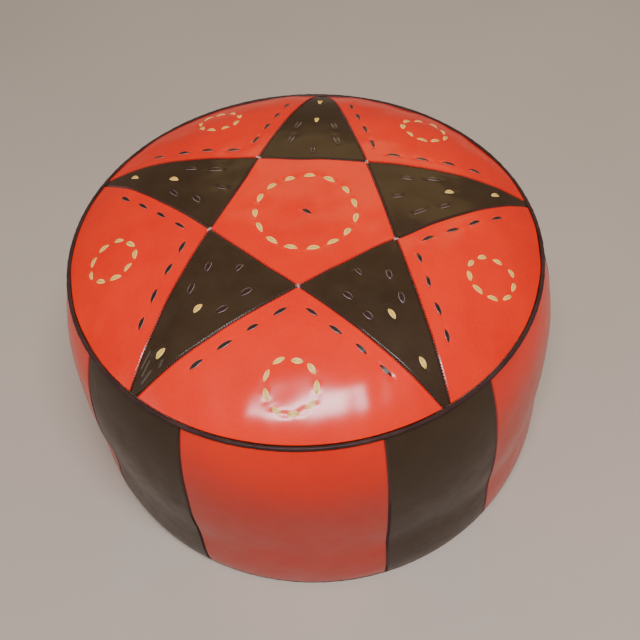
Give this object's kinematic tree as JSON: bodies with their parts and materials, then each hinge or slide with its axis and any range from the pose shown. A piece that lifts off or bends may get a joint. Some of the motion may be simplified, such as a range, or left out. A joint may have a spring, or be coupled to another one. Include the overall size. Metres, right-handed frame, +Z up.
{
  "type": "moroccan leather pouf",
  "caption": "Round stuffed leather pouf with a domed star-patchwork top, woven thong lacing, piped rims and a zipped base; a low seat or footstool.",
  "frame": {"origin": "on the floor under the centre of the round base", "axes": "+Z up, +Y towards one tip of the star, +X to its right along the base zip"},
  "size_m": [0.5428, 0.544, 0.3202],
  "materials": {
    "red_leather": "satin",
    "dark_leather": "satin",
    "piping_leather": "satin",
    "gold_thong": "satin",
    "brown_thong": "satin",
    "cotton_lining": "matte",
    "stuffing": "matte",
    "zip_tape": "matte",
    "zip_metal": "satin"
  },
  "bodies": {
    "pouf": {"base_panel_back": "dark_leather", "base_panel_front": "dark_leather", "bottom_piping": "piping_leather", "centre_pentagon": "red_leather", "centre_ring_lace": "gold_thong", "centre_tie": "brown_thong", "lining_bag": "cotton_lining", "outer_panel_1": "red_leather", "outer_panel_2": "red_leather", "outer_panel_3": "red_leather", "outer_panel_4": "red_leather", "outer_panel_5": "red_leather", "ring_lace_1": "gold_thong", "ring_lace_2": "gold_thong", "ring_lace_3": "gold_thong", "ring_lace_4": "gold_thong", "ring_lace_5": "gold_thong", "side_panel_dark_1": "dark_leather", "side_panel_dark_2": "dark_leather", "side_panel_dark_3": "dark_leather", "side_panel_dark_4": "dark_leather", "side_panel_dark_5": "dark_leather", "side_panel_red_1": "red_leather", "side_panel_red_2": "red_leather", "side_panel_red_3": "red_leather", "side_panel_red_4": "red_leather", "side_panel_red_5": "red_leather", "star_lace_dark_1": "brown_thong", "star_lace_dark_2": "brown_thong", "star_lace_dark_3": "brown_thong", "star_lace_dark_4": "brown_thong", "star_lace_dark_5": "brown_thong", "star_lace_gold_1": "gold_thong", "star_lace_gold_2": "gold_thong", "star_lace_gold_3": "gold_thong", "star_lace_gold_4": "gold_thong", "star_lace_gold_5": "gold_thong", "star_point_1": "dark_leather", "star_point_2": "dark_leather", "star_point_3": "dark_leather", "star_point_4": "dark_leather", "star_point_5": "dark_leather", "stuffing": "stuffing", "top_piping": "piping_leather", "v_lace_1": "brown_thong", "v_lace_2": "brown_thong", "v_lace_3": "brown_thong", "v_lace_4": "brown_thong", "v_lace_5": "brown_thong", "zip_bottom_stop": "zip_metal", "zip_tape_back": "zip_tape", "zip_tape_front": "zip_tape", "zip_teeth_back": "zip_metal", "zip_teeth_front": "zip_metal", "zip_top_stop": "zip_metal"},
    "slider": {"zip_slider": "zip_metal"},
    "pull": {"zip_pull": "zip_metal"}
  },
  "joints": [
    {"name": "zip_slide", "type": "slide", "parent": "pouf", "child": "slider", "axis": [-1, 0, 0], "range_m": [0, 0.29]},
    {"name": "zip_pull_hinge", "type": "hinge", "parent": "slider", "child": "pull", "pos_m": [0.14865, 0, 0.0017], "axis": [0, -1, 0], "range_deg": [0, 180]}
  ]
}
